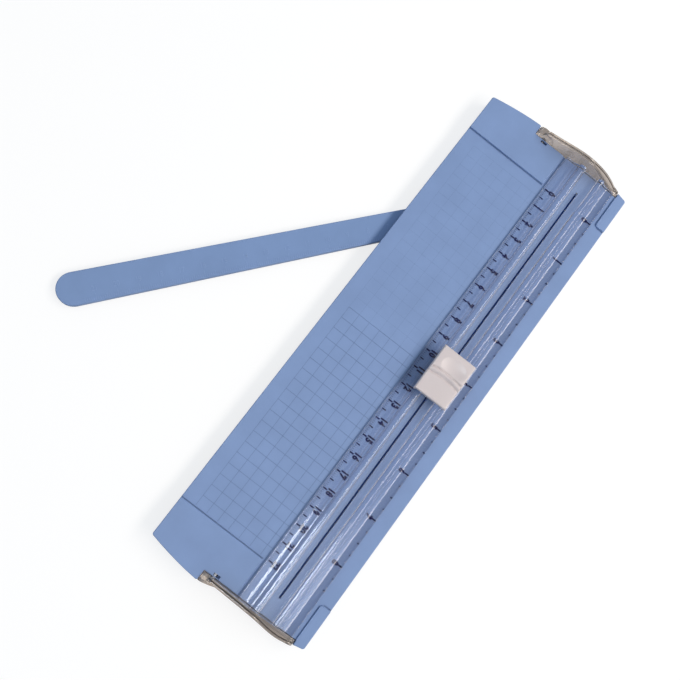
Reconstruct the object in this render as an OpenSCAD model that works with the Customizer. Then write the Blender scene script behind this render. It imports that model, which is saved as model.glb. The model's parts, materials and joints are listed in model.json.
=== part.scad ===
// Portable sliding paper trimmer: a moulded base, a clear flip-up rail with a
// press-and-slide cutter, and a ruler arm that swings out from under the table.
// Millimetres. +Z is up from the desk and +Y runs along the rail, towards the
// zero of its scales, which is the rear end.

/* [Base] */
// Width of the base
base_width = 83.6; // [83:0.1:90]
// Length of the base between the corners of its bowed ends
base_length = 262.4; // [261:0.1:280]
// How far each end bows out beyond its corners
end_bow = 4.6; // [4:0.1:5]
// Height of the paper table above the desk
table_height = 10; // [10:0.5:12]
// Length of each raised end, from its corners to the table
end_length = 20; // [18:1:24]
// Height of the raised ends above the table
end_step = 1; // [0.6:0.1:1.4]
// Wall of the moulded shell
shell_wall = 2; // [1.6:0.1:2.2]

/* [Feet] */
// Diameter of a rubber foot
foot_diameter = 9; // [7:0.5:9.5]
// Thickness of a rubber foot
foot_thickness = 1.4; // [1:0.1:2]
// How far a foot stands out below the shell
foot_stand = 0.6; // [0.4:0.1:0.8]

/* [Rail] */
// Distance of the cutting line from the middle of the base
rail_axis = 19.65; // [19:0.05:20.5]
// Width of the clear rail
rail_width = 29.2; // [28:0.2:30]
// Thickness of the flat scale strips along the rail's edges
strip_thickness = 1.4; // [1.2:0.1:1.6]
// Height of the cutter's track above the underside of the rail
track_height = 5; // [4.8:0.1:5.4]
// Gap for the paper between the table and the rail
paper_gap = 0.2; // [0.2:0.05:0.4]

/* [End arms] */
// Greatest thickness of an end arm along the rail
arm_thickness = 3.7; // [3.6:0.1:4]
// Rise of an arm's arch above the raised ends
arm_rise = 10.8; // [10:0.1:11]
// Place of the hinge, across the base
hinge_x = -9; // [-9.5:0.1:-8.5]
// Height of the hinge above the desk
hinge_z = 9; // [8.8:0.1:9.2]
// Diameter of a hinge pin
hinge_pin_diameter = 2.5; // [2:0.1:2.6]

/* [Cutter] */
// Place of the cutter along the rail
cutter_y = 2.4; // [-110:0.1:108]
// Length of the cap along the rail
cap_length = 24.6; // [24.6:0.1:28]
// Width of the cap
cap_width = 18.6; // [18.2:0.1:19]
// Height of the cap's pads above the desk
cap_height = 20.8; // [20.4:0.1:22]
// Travel of the cap when it is pressed
press_travel = 2; // [1.6:0.1:2]
// Thickness of the blade
blade_thickness = 0.4; // [0.3:0.05:0.5]

/* [Ruler] */
// Width of the ruler at its tip
ruler_width = 15.8; // [14:0.1:16]
// Width of the ruler at its pivot
ruler_root = 13; // [12:0.1:14]
// Length of the ruler from its pivot to its tip
ruler_reach = 175.4; // [150:0.1:176]
// Thickness of the ruler
ruler_thickness = 3.2; // [3:0.1:3.2]
// Angle by which the ruler is swung out
ruler_open = 39.3; // [0:0.1:85]
// Place of the ruler's pivot, across the base
pivot_x = -32; // [-32.5:0.1:-31]
// Place of the ruler's pivot, along the base
pivot_y = 61.7; // [60:0.1:62]

/* [Hidden] */
$fn = 96;

// Clearance between pieces that move past each other
gap = 0.3;
// Radial clearance of a turning fit
turn_gap = 0.05;
// Reach of a cut past the face that it opens
past = 1;

// Levels of the base
rim_z = foot_stand;
under_z = table_height - shell_wall;
raised_z = table_height + end_step;

// Outline of the base: straight sides and one large arc at each end
half_width = base_width / 2;
end_y = base_length / 2 + end_bow;
end_radius = (half_width * half_width + end_bow * end_bow) / (2 * end_bow);
end_centre = end_y - end_radius;
step_y = base_length / 2 - end_length;

// Channel of the rail between the raised ends
channel_left = rail_axis - rail_width / 2 - 1.5;
channel_right = rail_axis + rail_width / 2 + 2.1;

// Pockets of the end arms
pocket_y = base_length / 2 - 1.3;
pocket_left = hinge_x - 6.3;
pocket_right = channel_right + 0.3;
pocket_floor = hinge_z - 5.3;
end_wall_y = pocket_y + 2.3;
block_left = pocket_left - 2.5;
block_y = pocket_y - 8.5;
window_left = hinge_x - 0.9;
window_right = hinge_x + 2.5;
window_near = 1.9;
window_far = 0.5;

// Rib under the table beside the ruler's bay, and the mouth that lets the ruler out
rib_wall = 1.6;
bay_rib_x = -21.3;
mouth_z = 5;
mouth_front = -122;
mouth_rear = 78;

// Feet
foot_x = 33;
foot_y = base_length / 2 - 8.2;
foot_post_radius = foot_diameter / 2 + 1;

// Cutting slot of the table and of the rail, and the strip below it
slot_front = -120;
slot_rear = 118.4;
slot_width = 1.1;
strip_width = 5;
strip_depth = 1.6;

// Section of the rail, measured from its axis and from the desk
rail_z = table_height + paper_gap;
rail_half = rail_width / 2;
floor_z = rail_z + 1.3;
plateau_z = rail_z + 2.7;
track_z = rail_z + track_height;
lip_z = track_z - 1.6;
track_out = 7.4;
track_in = 3.6;
lip_depth = 0.8;
step_x = 9.9;
step_radius = 1;
edge_bevel = 0.6;
rail_end_y = pocket_y + gap;
entry_y = 106;
entry_taper = 8;

// Arch of an end arm: curves between these points, across and up
knuckle_radius = 5;
arm_tip_x = channel_right - 0.3;
arm_bottom_z = hinge_z - 4;
arch_start = [hinge_x - 0.3, raised_z + 0.58 * arm_rise];
arch_rise = [rail_axis - 14, raised_z + 0.97 * arm_rise];
arch_fall = [rail_axis - 3.5, raised_z + 1.45 * arm_rise];
arch_tip = [arm_tip_x, raised_z + 0.7];
heel_start = [hinge_x - knuckle_radius, hinge_z];
heel_rise = [hinge_x - knuckle_radius, hinge_z + 4];
heel_turn = [hinge_x - 2.8, raised_z + 0.36 * arm_rise];
arch_steps = 20;
heel_steps = 8;
rim = 1.5;
arm_web = 1.6;
arm_bow_radius = 200;
arm_bow_x = rail_axis - 2;
boss_length = 3.2;
hinge_pin_radius = hinge_pin_diameter / 2;
pin_in_base = 6.5;
pin_in_arm = 2.6;

// Cutter: the runner in the track, the cap over it and the blade in its holder
runner_half = 11;
foot_half = track_in + lip_depth - gap;
neck_half = track_in - gap;
runner_z = floor_z + gap;
foot_top = lip_z - gap;
neck_top = track_z + 1.8;
holder_half = 2.2;
holder_length = 10;
holder_slot_gap = 0.25;
holder_z = floor_z + press_travel + gap;
cap_skirt = 1.4;
cap_top = 1.1;
ceiling_z = cap_height - cap_top;
skirt_z = plateau_z + press_travel + 0.5;
clear_z = track_z + press_travel + 0.4;
cap_corner = 0.8;
rib_y = 0.8;
rib_half = 1.2;
rib_rise = 0.6;
pad_sag = 0.3;
pad_dome = 0.6;
pad_edge = 0.9;
hook_half = 2.8;
hook_z = neck_top - 1.8;
hook_catch = 0.7;
spring_y = 8;
spring_radius = 1.5;
spring_wire = 0.22;
spring_turns = 5;
spring_z = foot_top + 0.7;
post_radius = 1;
blade_tip_z = floor_z - 0.8;
blade_half = 4.6;
blade_shoulder_z = blade_tip_z + 2.1;
blade_top_z = holder_z + 3.5;
blade_pin_radius = 0.6;
blade_pin_z = holder_z + 1.8;

// Ruler and its pivot
ruler_z = 1.2;
ruler_top = ruler_z + ruler_thickness;
tip_radius = ruler_width / 2;
root_radius = ruler_root / 2;
tip_y = ruler_reach - tip_radius;
ruler_taper = asin((tip_radius - root_radius) / tip_y);
spigot_radius = 2.5;
spigot_z = 2.95;
boss_radius = 6;
seat_radius = 4.6;
seat_z = spigot_z + 0.15;
washer_thickness = 0.48;
washer_radius = 4.2;
screw_head_radius = 2.6;
screw_head_z = 1.3;
screw_radius = 1.15;
screw_top = 7;

// The origin is on the desk, in the middle of the box that holds the whole object
box_left = pivot_x - tip_y * sin(ruler_open) - tip_radius;
box_right = half_width;
place_x = -(box_left + box_right) / 2;

// Helpers

// Moves a piece from the middle of the base to the object's own origin
module place() {
    translate([place_x, 0, 0]) children();
}

// A box between two opposite corners
module block(low, high) {
    translate(low) cube(high - low);
}

// Repeats a shape made for the rear end at both ends
module both_ends() {
    children();
    mirror([0, 1, 0]) children();
}

// A slab with the outline of the base, drawn in by an inset
module plan_slab(low, high, inset = 0) {
    intersection() {
        block([-half_width + inset, -end_y, low], [half_width - inset, end_y, high]);
        translate([0, end_centre, low])
            cylinder(r = end_radius - inset, h = high - low, $fn = 360);
        translate([0, -end_centre, low])
            cylinder(r = end_radius - inset, h = high - low, $fn = 360);
    }
}

// Extrudes an outline drawn across and up, along the rail
module along_rail(from_y, to_y) {
    translate([0, to_y, 0]) rotate([90, 0, 0]) linear_extrude(to_y - from_y) children();
}

// Extrudes an outline drawn along and up, across the rail
module across_rail(width) {
    translate([-width / 2, 0, 0]) rotate([90, 0, 90]) linear_extrude(width) children();
}

// Points on an arc
function arc(centre, radius, from_angle, to_angle, steps) = [
    for (i = [0 : steps])
        let (angle = from_angle + (to_angle - from_angle) * i / steps)
        centre + radius * [cos(angle), sin(angle)]
];

// Points on a curve from a to d that leaves towards b and arrives from c
function curve(a, b, c, d, steps) = [
    for (i = [0 : steps])
        let (t = i / steps, s = 1 - t)
        s * s * s * a + 3 * s * s * t * b + 3 * s * t * t * c + t * t * t * d
];

// Points mirrored in the axis of the rail, in turned order
function mirrored(points) = [
    for (i = [len(points) - 1 : -1 : 0]) [-points[i][0], points[i][1]]
];

// Base

// Raised ends, left and right of the rail's channel
module raised_ends() {
    intersection() {
        plan_slab(under_z, raised_z);
        both_ends() {
            block([-half_width, step_y, under_z], [channel_left, end_y, raised_z]);
            block([channel_right, step_y, under_z], [half_width, end_y, raised_z]);
        }
    }
}

// Solid ends that hold the arm pockets and the hinge bores
module end_blocks() {
    intersection() {
        plan_slab(rim_z, table_height);
        both_ends() {
            block([block_left, block_y, pocket_floor - shell_wall], [half_width, end_y, table_height]);
            block([block_left, end_wall_y - shell_wall, rim_z], [half_width, end_y, table_height]);
        }
    }
}

// Rib under the table, beside the ruler's bay
module bay_rib() {
    rib_end = base_length / 2 - shell_wall;
    block([bay_rib_x - rib_wall / 2, -rib_end, rim_z],
          [bay_rib_x + rib_wall / 2, rib_end, table_height - 0.5]);
}

// Rails under the table that hold the cutting strip
module strip_bed() {
    low = under_z - strip_depth - 1;
    block([rail_axis - strip_width / 2 - 1.5, slot_front - 3, low],
          [rail_axis + strip_width / 2 + 1.5, slot_rear + 3, table_height - 0.5]);
}

// Places of the four feet
function foot_place(side, end) = [side * foot_x, end * foot_y, 0];

// Posts that carry the feet
module foot_posts() {
    for (side = [-1, 1], end = [-1, 1])
        translate(foot_place(side, end) + [0, 0, rim_z])
            cylinder(r = foot_post_radius, h = table_height - 0.5 - rim_z);
}

// Boss and spigot of the ruler
module pivot_boss() {
    translate([pivot_x, pivot_y, ruler_top + gap])
        cylinder(r = boss_radius, h = table_height - 0.5 - ruler_top - gap);
    translate([pivot_x, pivot_y, spigot_z])
        cylinder(r = spigot_radius, h = ruler_top + past - spigot_z);
}

// What is cut out of an end: the pocket, the hinge bore and the window above the pin
module end_cuts() {
    block([pocket_left, pocket_y, pocket_floor], [pocket_right, end_y + past, raised_z + past]);
    block([pocket_left, end_wall_y, rim_z - past], [pocket_right, end_y + past, raised_z + past]);
    translate([hinge_x, pocket_y - pin_in_base - gap, hinge_z])
        rotate([-90, 0, 0])
            cylinder(r = hinge_pin_radius + turn_gap, h = pin_in_base + gap + past);
    block([window_left, pocket_y - window_near, hinge_z],
          [window_right, pocket_y - window_far, raised_z + past]);
}

// Moulded base with the paper table
module base_shell() {
    color("#8a9fc9") place() difference() {
        union() {
            difference() {
                plan_slab(rim_z, table_height);
                plan_slab(rim_z - past, under_z, shell_wall);
            }
            raised_ends();
            end_blocks();
            bay_rib();
            strip_bed();
            foot_posts();
            pivot_boss();
        }
        both_ends() end_cuts();
        for (side = [-1, 1], end = [-1, 1])
            translate(foot_place(side, end) - [0, 0, past])
                cylinder(r = foot_diameter / 2 + 0.1, h = foot_thickness + past);
        block([rail_axis - slot_width / 2, slot_front, under_z - past],
              [rail_axis + slot_width / 2, slot_rear, table_height + past]);
        block([rail_axis - strip_width / 2, slot_front - 1.5, rim_z - past],
              [rail_axis + strip_width / 2, slot_rear + 1.5, under_z]);
        block([-half_width - past, mouth_front, rim_z - past],
              [-half_width + shell_wall + 0.5, mouth_rear, mouth_z]);
        translate([pivot_x, pivot_y, rim_z])
            cylinder(r = screw_radius + turn_gap, h = screw_top + 0.5 - rim_z);
    }
}

// Strip that the blade runs above
module cutting_strip() {
    color("#1d3874") place()
        block([rail_axis - strip_width / 2, slot_front - 1.5, under_z - strip_depth],
              [rail_axis + strip_width / 2, slot_rear + 1.5, under_z]);
}

// Rubber foot in its recess
module foot(side, end) {
    color("#33343a") place() translate(foot_place(side, end))
        cylinder(r = foot_diameter / 2, h = foot_thickness);
}

// Ruler

// Screw under the ruler's boss, with a cross recess
module ruler_pivot_screw() {
    head_top = spigot_z - washer_thickness;
    color("silver") place() translate([pivot_x, pivot_y, 0]) difference() {
        union() {
            translate([0, 0, screw_head_z]) cylinder(r = screw_head_radius, h = head_top - screw_head_z);
            translate([0, 0, head_top - 0.2]) cylinder(r = screw_radius, h = screw_top - head_top + 0.2);
        }
        for (turn = [0, 90])
            rotate([0, 0, turn])
                block([-1.6, -0.3, screw_head_z - past], [1.6, 0.3, screw_head_z + 0.6]);
    }
}

// Washer that holds the ruler on its spigot
module ruler_washer() {
    color("silver") place() translate([pivot_x, pivot_y, spigot_z - washer_thickness]) difference() {
        cylinder(r = washer_radius, h = washer_thickness);
        translate([0, 0, -past]) cylinder(r = screw_radius + 0.15, h = washer_thickness + 2 * past);
    }
}

// Ruler arm with round ends, a little wider towards its tip, swung out of its bay
module ruler_arm() {
    lean = [cos(ruler_taper), sin(ruler_taper)];
    side = [root_radius * lean, [0, -tip_y] + tip_radius * lean];
    color("#8ba3cd") place() translate([pivot_x, pivot_y, 0]) rotate([0, 0, -ruler_open]) difference() {
        translate([0, 0, ruler_z]) {
            cylinder(r = root_radius, h = ruler_thickness);
            linear_extrude(ruler_thickness) polygon(concat(side, mirrored(side)));
            translate([0, -tip_y, 0]) cylinder(r = tip_radius, h = ruler_thickness);
        }
        translate([0, 0, ruler_z - past]) cylinder(r = seat_radius, h = seat_z - ruler_z + past);
        translate([0, 0, ruler_z]) cylinder(r = spigot_radius + turn_gap, h = ruler_thickness + past);
    }
}

// Clear rail

// Right half of the rail's section, from the outer edge to the axis
function rail_side() = concat(
    [[rail_half, rail_z], [rail_half, rail_z + strip_thickness - edge_bevel]],
    [[rail_half - edge_bevel, rail_z + strip_thickness]],
    arc([step_x + step_radius, rail_z + strip_thickness + step_radius], step_radius, 270, 180, 5),
    arc([step_x - 0.3, plateau_z - 0.3], 0.3, 0, 90, 3),
    [[track_out, plateau_z]],
    arc([track_out - 0.5, track_z - 0.5], 0.5, 0, 90, 4),
    arc([track_in + 0.5, track_z - 0.5], 0.5, 90, 180, 4),
    [[track_in, lip_z], [track_in + lip_depth, lip_z], [track_in + lip_depth, floor_z]]
);

// Rail with two scale strips, a track of two lipped walls and the blade's slot
module clear_rail() {
    color("#c9d4ee", 0.5) place() translate([rail_axis, 0, 0]) difference() {
        along_rail(-rail_end_y, rail_end_y)
            polygon(concat(rail_side(), mirrored(rail_side())));
        block([-slot_width / 2, slot_front, rail_z - past], [slot_width / 2, slot_rear, floor_z + past]);
        translate([0, 0, lip_z]) linear_extrude(track_z - lip_z + past)
            polygon([
                [track_in - past, entry_y], [track_in, entry_y],
                [track_in + lip_depth, entry_y + entry_taper],
                [track_in + lip_depth, rail_end_y + past], [track_in - past, rail_end_y + past]
            ]);
    }
}

// Outline of an end arm, across and up, drawn in by an inset
function arm_outline(inset) = concat(
    curve(heel_start + [inset, 0], heel_rise + [inset, -inset / 2],
          heel_turn + [inset, -inset], arch_start - [0, inset], heel_steps),
    curve(arch_start - [0, inset], arch_rise - [0, inset],
          arch_fall - [inset, inset], arch_tip - [2 * inset, 0], arch_steps),
    [[arm_tip_x - 2 * inset, arm_bottom_z + inset], [hinge_x, arm_bottom_z + inset]]
);

// Clear arm at the rear end: a lens-shaped plate with a bowed face, a rim and a round boss
module end_arm() {
    outer_y = rail_end_y + arm_thickness;
    color("#d8cdb8", 0.6) place() difference() {
        union() {
            intersection() {
                along_rail(rail_end_y, outer_y) polygon(arm_outline(0));
                translate([arm_bow_x, outer_y - arm_bow_radius, arm_bottom_z - past])
                    cylinder(r = arm_bow_radius, h = 3 * arm_rise, $fn = 360);
            }
            translate([hinge_x, rail_end_y, hinge_z]) rotate([-90, 0, 0])
                cylinder(r1 = knuckle_radius, r2 = knuckle_radius - 1.4, h = boss_length);
        }
        difference() {
            along_rail(rail_end_y + arm_web, outer_y + past) polygon(arm_outline(rim));
            translate([hinge_x, rail_end_y, hinge_z]) rotate([-90, 0, 0])
                cylinder(r = knuckle_radius + 0.6, h = boss_length + past);
        }
        translate([hinge_x, rail_end_y - past, hinge_z]) rotate([-90, 0, 0])
            cylinder(r = hinge_pin_radius, h = pin_in_arm + past);
    }
}

// Hinge pin at the rear end: pressed into the arm, turning in the base
module hinge_pin() {
    color("#c9c4b6") place() translate([hinge_x, pocket_y - pin_in_base, hinge_z]) rotate([-90, 0, 0])
        cylinder(r = hinge_pin_radius, h = pin_in_base + gap + pin_in_arm);
}

// Cutter

// Runner with a foot under the track's lips and a neck between them
module carriage() {
    color("#c9cbd0") place() translate([rail_axis, cutter_y, 0]) difference() {
        union() {
            block([-foot_half, -runner_half, runner_z], [foot_half, runner_half, foot_top]);
            block([-neck_half, -runner_half, runner_z], [neck_half, runner_half, neck_top]);
        }
        block([-holder_half - holder_slot_gap, -holder_length / 2 - holder_slot_gap, runner_z - past],
              [holder_half + holder_slot_gap, holder_length / 2 + holder_slot_gap, neck_top + past]);
        for (y = [-spring_y, spring_y]) {
            translate([0, y, runner_z - past])
                cylinder(r = post_radius + 0.15, h = neck_top - runner_z + 2 * past);
            translate([0, y, spring_z])
                cylinder(r = spring_radius + spring_wire + 0.28, h = neck_top - spring_z + past);
        }
        both_ends()
            block([-hook_half - gap, runner_half - hook_catch, hook_z - press_travel - gap],
                  [hook_half + gap, runner_half + past, hook_z + 0.9]);
    }
}

// Side outline of the cap: a scooped front pad, a cross rib and a domed rear pad
function cap_side() = concat(
    [[cap_length / 2, skirt_z]],
    arc([cap_length / 2 - pad_edge, cap_height - pad_edge], pad_edge, 0, 80, 4),
    [for (i = [1 : 9]) let (t = i / 10)
        [(cap_length / 2 - pad_edge) * (1 - t) + (rib_y + rib_half + 0.3) * t,
         cap_height + pad_dome * sin(180 * t)]],
    [[rib_y + rib_half + 0.3, cap_height], [rib_y + rib_half, cap_height + 0.1]],
    arc([rib_y, cap_height], rib_rise, 60, 120, 4),
    [[rib_y - rib_half, cap_height + 0.1], [rib_y - rib_half - 0.3, cap_height]],
    [for (i = [1 : 9]) let (t = i / 10)
        [(rib_y - rib_half - 0.3) * (1 - t) - (cap_length / 2 - pad_edge) * t,
         cap_height - pad_sag * sin(180 * t)]],
    arc([pad_edge - cap_length / 2, cap_height - pad_edge], pad_edge, 100, 180, 4),
    [[-cap_length / 2, skirt_z]]
);

// Outline of the cap from above, with round corners
module cap_plan() {
    for (turn = [0, 1]) {
        across = cap_width / 2 - turn * cap_corner;
        along = cap_length / 2 - (1 - turn) * cap_corner;
        block([-across, -along, skirt_z - past], [across, along, cap_height + 2]);
    }
    for (side = [-1, 1], end = [-1, 1])
        translate([side * (cap_width / 2 - cap_corner), end * (cap_length / 2 - cap_corner), skirt_z - past])
            cylinder(r = cap_corner, h = cap_height + 2 - skirt_z + past);
}

// White thumb cap with guide posts for the springs and a hook at each end
module slider_cap() {
    cavity_half = cap_width / 2 - cap_skirt;
    cavity_length = runner_half + 0.25;
    color("#e6dedb") place() translate([rail_axis, cutter_y, 0]) union() {
        difference() {
            intersection() {
                across_rail(cap_width) polygon(cap_side());
                cap_plan();
            }
            block([-cavity_half, -cavity_length, skirt_z - past], [cavity_half, cavity_length, ceiling_z]);
            block([-cavity_half, -cap_length, skirt_z - past], [cavity_half, cap_length, clear_z]);
        }
        for (y = [-spring_y, spring_y])
            translate([0, y, spring_z]) cylinder(r = post_radius, h = ceiling_z + 0.3 - spring_z);
        both_ends() {
            block([-hook_half, cavity_length, hook_z], [hook_half, cap_length / 2, ceiling_z]);
            block([-hook_half, cavity_length - hook_catch + 0.1, hook_z],
                  [hook_half, cavity_length + 0.1, hook_z + 0.7]);
        }
    }
}

// Block under the cap with the blade's slot and its pin hole
module blade_holder() {
    color("#d9d9dc") place() translate([rail_axis, cutter_y, 0]) difference() {
        block([-holder_half, -holder_length / 2, holder_z], [holder_half, holder_length / 2, ceiling_z]);
        block([-blade_thickness / 2 - 0.01, -holder_length, holder_z - past],
              [blade_thickness / 2 + 0.01, holder_length, blade_top_z + 0.1]);
        translate([-holder_half - past, 0, blade_pin_z]) rotate([0, 90, 0])
            cylinder(r = blade_pin_radius, h = 2 * (holder_half + past));
    }
}

// Blade with two edges that meet in a point
module blade() {
    color("#b9bec6") place() translate([rail_axis, cutter_y, 0]) difference() {
        across_rail(blade_thickness)
            polygon([
                [-blade_half, blade_top_z], [-blade_half, blade_shoulder_z], [0, blade_tip_z],
                [blade_half, blade_shoulder_z], [blade_half, blade_top_z]
            ]);
        translate([-past, 0, blade_pin_z]) rotate([0, 90, 0])
            cylinder(r = blade_pin_radius, h = 2 * past);
    }
}

// Cross pin through the holder and the blade
module blade_pin() {
    color("silver") place() translate([rail_axis - holder_half, cutter_y, blade_pin_z]) rotate([0, 90, 0])
        cylinder(r = blade_pin_radius - 0.01, h = 2 * holder_half);
}

// Coil spring round a guide post, one unbroken wire swept along a helix
coil_rings = 8;
coil_sides = 6;
coil_low = spring_z + spring_wire + 0.01;
coil_high = ceiling_z - spring_wire - 0.01;
coil_count = coil_rings * spring_turns;
function coil_point(i) = [
    spring_radius * cos(360 * i / coil_rings),
    spring_radius * sin(360 * i / coil_rings),
    coil_low + (coil_high - coil_low) * i / coil_count
];
function coil_ring(i) = [
    for (k = [0 : coil_sides - 1])
        let (round = 360 * k / coil_sides, turn = 360 * i / coil_rings)
        coil_point(i) + spring_wire * [cos(round) * cos(turn), cos(round) * sin(turn), sin(round)]
];
coil_points = [for (i = [0 : coil_count]) each coil_ring(i)];
coil_walls = [
    for (i = [0 : coil_count - 1], k = [0 : coil_sides - 1])
        let (
            a = i * coil_sides + k,
            b = i * coil_sides + (k + 1) % coil_sides
        )
        each [[a, b, a + coil_sides], [b, b + coil_sides, a + coil_sides]]
];
coil_first = [for (k = [1 : coil_sides - 2]) [0, k + 1, k]];
coil_last = [
    for (k = [1 : coil_sides - 2])
        coil_count * coil_sides * [1, 1, 1] + [0, k, k + 1]
];
coil_gaps = [
    for (i = [0 : coil_count - coil_rings])
        norm(coil_point(i + coil_rings) - coil_point(i)) - 2 * spring_wire
];
echo(least_gap_between_turns = min(coil_gaps));

module cap_spring(y) {
    color("#aeb2b8") place() translate([rail_axis, cutter_y + y, 0])
        polyhedron(points = coil_points, faces = concat(coil_walls, coil_first, coil_last));
}

base_shell();
cutting_strip();
foot(-1, -1);  // foot_front_left
foot(1, -1);  // foot_front_right
foot(-1, 1);  // foot_rear_left
foot(1, 1);  // foot_rear_right
ruler_pivot_screw();
ruler_washer();
ruler_arm();
clear_rail();
mirror([0, 1, 0]) end_arm();  // front_end_arm
end_arm();  // rear_end_arm
mirror([0, 1, 0]) hinge_pin();  // front_hinge_pin
hinge_pin();  // rear_hinge_pin
carriage();
cap_spring(-spring_y);  // cap_spring_front
cap_spring(spring_y);  // cap_spring_rear
slider_cap();
blade_holder();
blade();
blade_pin();
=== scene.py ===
# %% [markdown]
# # A desk paper trimmer
# The trimmer has a moulded blue base with a grid on its table, a clear rail that flips up to take
# the paper, a white cutter that is pressed and slid along the rail, and a ruler that swings out
# from under the table. The solid model is loaded first, because it says where each piece is and
# what it moves with. Every piece of this lesson is then made in that place, so nothing is fitted.

import json
import math

import bmesh
import bpy
from mathutils import Euler, Matrix, Vector


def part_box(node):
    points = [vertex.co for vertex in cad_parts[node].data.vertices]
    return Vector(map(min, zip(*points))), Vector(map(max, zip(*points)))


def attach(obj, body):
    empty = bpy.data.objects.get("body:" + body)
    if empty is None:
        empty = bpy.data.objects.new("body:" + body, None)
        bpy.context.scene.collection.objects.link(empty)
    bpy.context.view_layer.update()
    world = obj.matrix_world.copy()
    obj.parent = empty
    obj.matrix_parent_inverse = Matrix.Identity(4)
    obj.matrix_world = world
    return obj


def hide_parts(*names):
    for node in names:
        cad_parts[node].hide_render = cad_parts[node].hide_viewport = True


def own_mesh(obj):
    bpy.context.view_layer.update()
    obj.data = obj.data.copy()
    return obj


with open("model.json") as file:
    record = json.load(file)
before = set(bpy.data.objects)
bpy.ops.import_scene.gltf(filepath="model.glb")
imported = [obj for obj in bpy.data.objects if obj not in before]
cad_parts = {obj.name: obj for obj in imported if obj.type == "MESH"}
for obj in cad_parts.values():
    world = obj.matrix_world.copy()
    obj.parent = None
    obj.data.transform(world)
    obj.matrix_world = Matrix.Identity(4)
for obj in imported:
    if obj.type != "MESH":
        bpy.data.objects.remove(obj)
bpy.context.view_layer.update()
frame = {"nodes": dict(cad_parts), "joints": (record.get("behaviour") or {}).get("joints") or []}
solids = frame["nodes"]
joints = {joint["name"]: joint for joint in frame["joints"]}
print("solids loaded:", len(solids), "joints:", ", ".join(joints))

# %% [markdown]
# ## Places on the trimmer
# A workshop drawing of something this small is in millimetres, and Blender works in metres. The
# lesson keeps to millimetres and shrinks each finished mesh once. The places that matter, such as
# the middle of the rail and the hinge, are read from the solids, so they stay right if those change.

# %% Places of the base, the rail, the cutter, the hinge and the pivot
METRE = 1000.0


def solid_box(node):
    """Lowest and highest corner of a solid, in millimetres."""
    low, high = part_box(node)
    return low * METRE, high * METRE


base_low, base_high = solid_box("base_shell")
rail_low, rail_high = solid_box("clear_rail")
cap_low, cap_high = solid_box("slider_cap")
base_x = (base_low.x + base_high.x) / 2
rail_x = (rail_low.x + rail_high.x) / 2
cutter_y = (cap_low.y + cap_high.y) / 2
hinge = Vector(joints["rail_flip"]["pos_m"]) * METRE
pivot = Vector(joints["ruler_swing"]["pos_m"]) * METRE
ruler_angle = math.radians(joints["ruler_swing"]["range_deg"][1])
end_step = 1.0
table_z = base_high.z - end_step
print("rail axis at", round(rail_x, 2), "table at", round(table_z, 2))

# %% [markdown]
# ## Camera
# The picture is taken from almost straight above, from the front left, with the trimmer lying
# across the frame. A camera can be aimed with a constraint, but its turn about its own axis matters
# here, so its place and three angles are set directly. Depth of field stays off.

# %% Set the camera
def put_in_scene(name, data):
    """A new object in the scene, which holds a camera, a lamp, a mesh or a text."""
    thing = bpy.data.objects.new(name, data)
    bpy.context.scene.collection.objects.link(thing)
    return thing


camera_place = Vector((base_x - 41.456, -91.19, 412.89))
camera_turn = (7.7156, -8.2280, 37.2390)
camera_lens = bpy.data.cameras.new("camera")
camera_lens.lens = 47.065
camera_lens.sensor_width = 36
camera_lens.clip_start = 0.01
camera = put_in_scene("camera", camera_lens)
camera.location = camera_place / METRE
camera.rotation_euler = Euler([math.radians(angle) for angle in camera_turn])
bpy.context.scene.camera = camera
print("camera", round(camera_place.z), "mm above the desk")

# %% [markdown]
# ## Studio light
# Two lamps and a pale surround light the trimmer. The key lamp is a long tube to the right: it throws
# the short shadows that tell how high the pieces stand, and every rounding along the rail mirrors
# some part of it as a thin line. A soft box over the front end is what gives the white streaks there.
# It is only there for the gloss, so dull surfaces get no light from it. The key is a little warm and
# the surround a little cool, so shade turns blue, as beside a window. Their levels add up to about
# one on a level surface, so a colour comes out about as it is written.

# %% Set the key lamp and the soft box
bpy.context.scene.view_settings.view_transform = "Standard"


def hang_lamp(name, place, tilt, size, energy, tint):
    """A rectangular lamp, tilted from straight down by an angle. Lengths are in millimetres."""
    lamp = bpy.data.lights.new(name, "AREA")
    lamp.shape = "RECTANGLE"
    lamp.size = size[0] / METRE
    lamp.size_y = size[1] / METRE
    lamp.energy = energy
    lamp.color = tint
    holder = put_in_scene(name, lamp)
    holder.location = Vector(place) / METRE
    holder.rotation_euler = Euler((0, math.radians(tilt), 0))
    holder.visible_transmission = False
    return holder


key_lamp = hang_lamp("key_lamp", place=(base_x + 631, 280, 901), tilt=35, size=(308, 1100),
                     energy=9.6, tint=(1.0, 0.9, 0.8))
soft_box = hang_lamp("soft_box", place=(base_x - 220, -153, 1000), tilt=0, size=(560, 174),
                     energy=5.0, tint=(0.95, 1.0, 1.05))
soft_box.visible_diffuse = False
print("lamps:", key_lamp.name, soft_box.name)

# %% [markdown]
# ## White surround and floor
# The trimmer lies on white paper that fades into a white background. More light would burn out the
# pale cap, so the surround is only white to the rays that look at it: the camera's own, and those
# that a mirror or clear plastic sends on. The light that it gives to dull surfaces is set apart. The
# ceiling is dim in mirrors, as in a room: a white one would lie over the clear rail as a grey veil.

# %% Numbers that nodes work out
def feed(tree, value, socket):
    """Sets a socket to a number, or links it to the socket that a value comes from."""
    if isinstance(value, (int, float)):
        socket.default_value = value
    else:
        tree.links.new(value, socket)


def worked_out(tree, operation, first, second):
    """What an operation makes of two values, kept between none and one."""
    node = tree.nodes.new("ShaderNodeMath")
    node.operation = operation
    node.use_clamp = True
    feed(tree, first, node.inputs[0])
    feed(tree, second, node.inputs[1])
    return node.outputs[0]


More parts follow.
